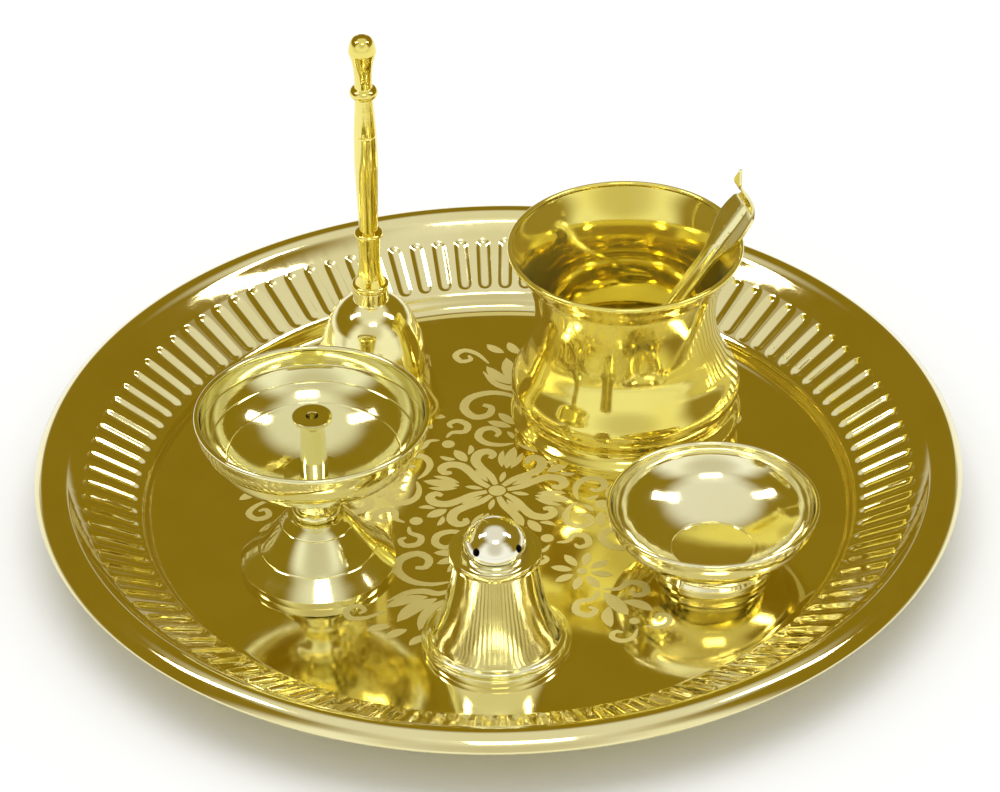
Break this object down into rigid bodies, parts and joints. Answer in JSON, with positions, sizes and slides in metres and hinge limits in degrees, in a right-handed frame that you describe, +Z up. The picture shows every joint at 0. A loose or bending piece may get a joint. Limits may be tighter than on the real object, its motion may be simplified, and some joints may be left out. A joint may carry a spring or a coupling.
{
  "type": "puja thali set",
  "caption": "Round brass tray with a fluted wall and rolled rim, carrying a hand bell, an oil lamp, an incense holder, a water pot with a leaning spoon and a small bowl.",
  "frame": {"origin": "centre of the tray's underside, on the table", "axes": "+Z up, +X to the right and -Y to the front as the set stands in the picture"},
  "size_m": [0.3048, 0.3048, 0.1462],
  "materials": {
    "tray_brass": "polished sheet",
    "bell_brass": "polished casting",
    "lamp_brass": "polished turning",
    "incense_brass": "polished turning",
    "pot_brass": "polished spinning",
    "bowl_brass": "polished spinning"
  },
  "bodies": {
    "tray": {"thali_plate": "tray_brass"},
    "bell": {"bell_dome": "bell_brass", "bell_ferrule": "bell_brass", "bell_grip": "bell_brass", "bell_stud": "bell_brass"},
    "link": {"clapper_link": "bell_brass"},
    "clapper": {"clapper": "bell_brass"},
    "lamp": {"lamp_base": "lamp_brass", "lamp_collar": "lamp_brass", "lamp_bowl": "lamp_brass", "wick_post": "lamp_brass", "lamp_nut": "lamp_brass"},
    "incense_holder": {"incense_body": "incense_brass", "incense_dome": "incense_brass"},
    "pot": {"water_pot": "pot_brass"},
    "spoon": {"spoon": "pot_brass"},
    "bowl": {"small_bowl": "bowl_brass"}
  },
  "joints": [
    {"name": "bell_lift", "type": "slide", "parent": "tray", "child": "bell", "axis": [0, 0, 1], "range_m": [0, 0.2]},
    {"name": "lamp_lift", "type": "slide", "parent": "tray", "child": "lamp", "axis": [0, 0, 1], "range_m": [0, 0.2]},
    {"name": "incense_lift", "type": "slide", "parent": "tray", "child": "incense_holder", "axis": [0, 0, 1], "range_m": [0, 0.2]},
    {"name": "pot_lift", "type": "slide", "parent": "tray", "child": "pot", "axis": [0, 0, 1], "range_m": [0, 0.2]},
    {"name": "bowl_lift", "type": "slide", "parent": "tray", "child": "bowl", "axis": [0, 0, 1], "range_m": [0, 0.2]},
    {"name": "spoon_lift", "type": "slide", "parent": "pot", "child": "spoon", "axis": [0, 0, 1], "range_m": [0, 0.09]},
    {"name": "link_swing", "type": "hinge", "parent": "bell", "child": "link", "pos_m": [-0.0418, 0.0594, 0.03715], "axis": [1, 0, 0], "range_deg": [-24, 24]},
    {"name": "clapper_swing", "type": "hinge", "parent": "link", "child": "clapper", "pos_m": [-0.0418, 0.0594, 0.03155], "axis": [0, 1, 0], "range_deg": [-20, 20]}
  ]
}
